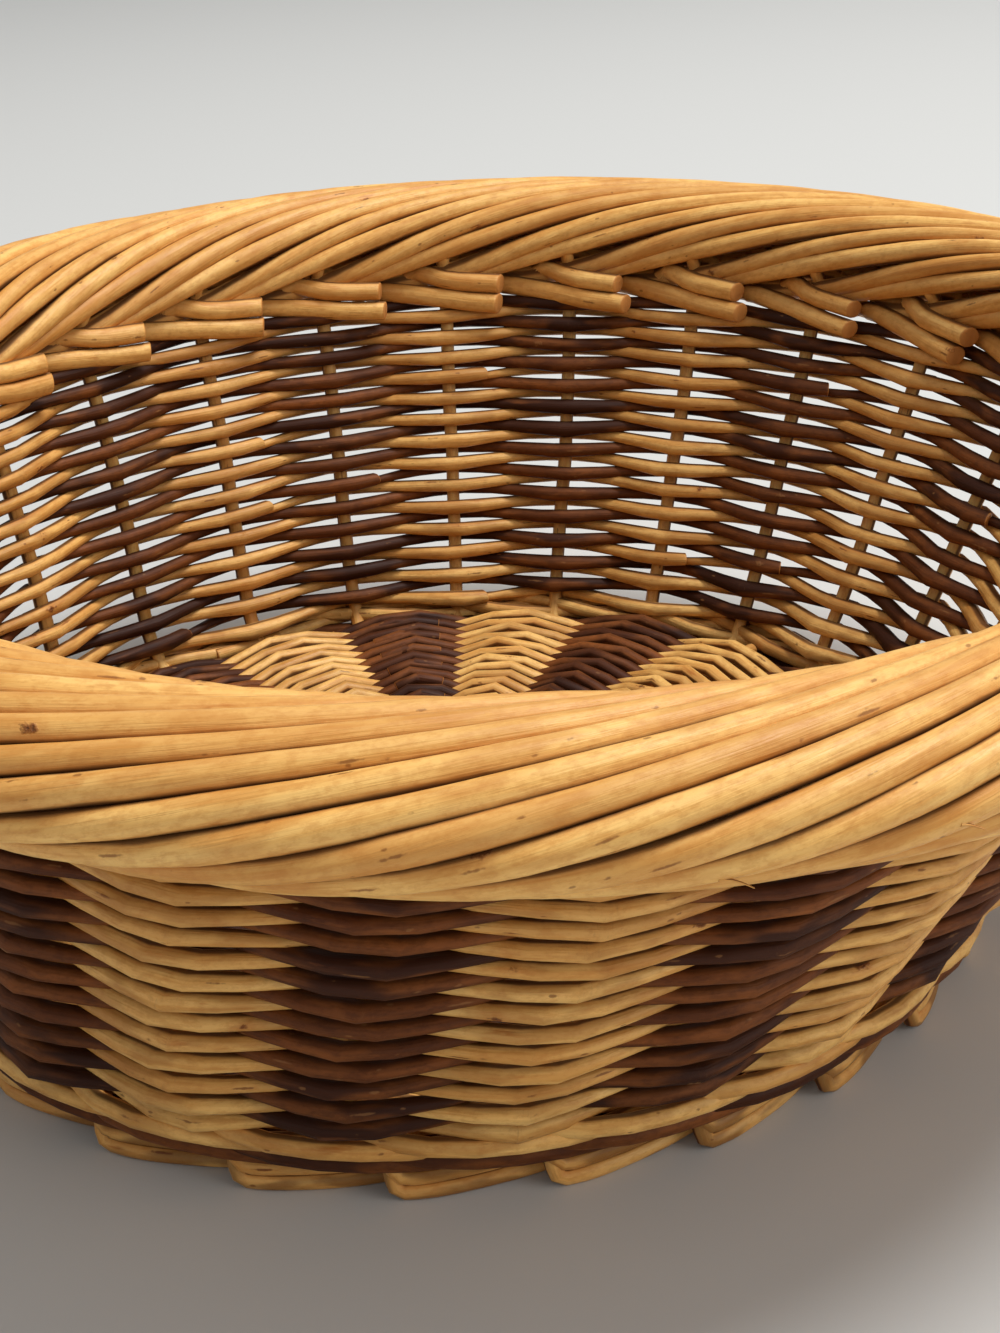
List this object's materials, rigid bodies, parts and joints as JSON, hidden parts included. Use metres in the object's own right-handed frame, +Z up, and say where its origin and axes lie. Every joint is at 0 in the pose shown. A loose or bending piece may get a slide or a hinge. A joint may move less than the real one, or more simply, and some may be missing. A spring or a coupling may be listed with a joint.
{
  "type": "woven willow basket",
  "caption": "Round open willow basket with a flared wall in buff and brown stripes, a thick rolled border at the rim and a woven foot.",
  "frame": {"origin": "on the floor, under the middle of the rim", "axes": "+Z up; +X towards the side that the rim slides and dips to; -Y towards the front"},
  "size_m": [0.3788, 0.3788, 0.1352],
  "materials": {
    "buff_willow": "satin honey-coloured willow rod",
    "brown_willow": "satin dark brown willow rod with the bark on",
    "border_willow": "satin honey-coloured willow rod, stouter",
    "base_stick_willow": "matt stout willow stick"
  },
  "bodies": {
    "root": {"stake_01": "border_willow", "stake_02": "border_willow", "stake_03": "border_willow", "stake_04": "border_willow", "stake_05": "border_willow", "stake_06": "border_willow", "stake_07": "border_willow", "stake_08": "border_willow", "stake_09": "border_willow", "stake_10": "border_willow", "stake_11": "border_willow", "stake_12": "border_willow", "stake_13": "border_willow", "stake_14": "border_willow", "stake_15": "border_willow", "stake_16": "border_willow", "stake_17": "border_willow", "stake_18": "border_willow", "stake_19": "border_willow", "stake_20": "border_willow", "stake_21": "border_willow", "stake_22": "border_willow", "stake_23": "border_willow", "stake_24": "border_willow", "stake_25": "border_willow", "stake_26": "border_willow", "weaver_buff_01": "buff_willow", "weaver_brown_01": "brown_willow", "weaver_buff_02": "buff_willow", "weaver_brown_02": "brown_willow", "weaver_buff_03": "buff_willow", "weaver_brown_03": "brown_willow", "weaver_buff_04": "buff_willow", "weaver_brown_04": "brown_willow", "weaver_buff_05": "buff_willow", "weaver_brown_05": "brown_willow", "weaver_buff_06": "buff_willow", "weaver_brown_06": "brown_willow", "weaver_buff_07": "buff_willow", "weaver_brown_07": "brown_willow", "weaver_buff_08": "buff_willow", "weaver_brown_08": "brown_willow", "weaver_buff_09": "buff_willow", "weaver_brown_09": "brown_willow", "weaver_buff_10": "buff_willow", "weaver_brown_10": "brown_willow", "weaver_buff_11": "buff_willow", "weaver_brown_11": "brown_willow", "weaver_buff_12": "buff_willow", "weaver_brown_12": "brown_willow", "weaver_buff_13": "buff_willow", "weaver_brown_13": "brown_willow", "weaver_buff_14": "buff_willow", "weaver_brown_14": "brown_willow", "wale_brown": "brown_willow", "wale_buff": "buff_willow", "foot_border": "buff_willow", "base_sticks": "base_stick_willow", "base_weaver_buff": "buff_willow", "base_weaver_brown": "brown_willow"}
  },
  "joints": []
}
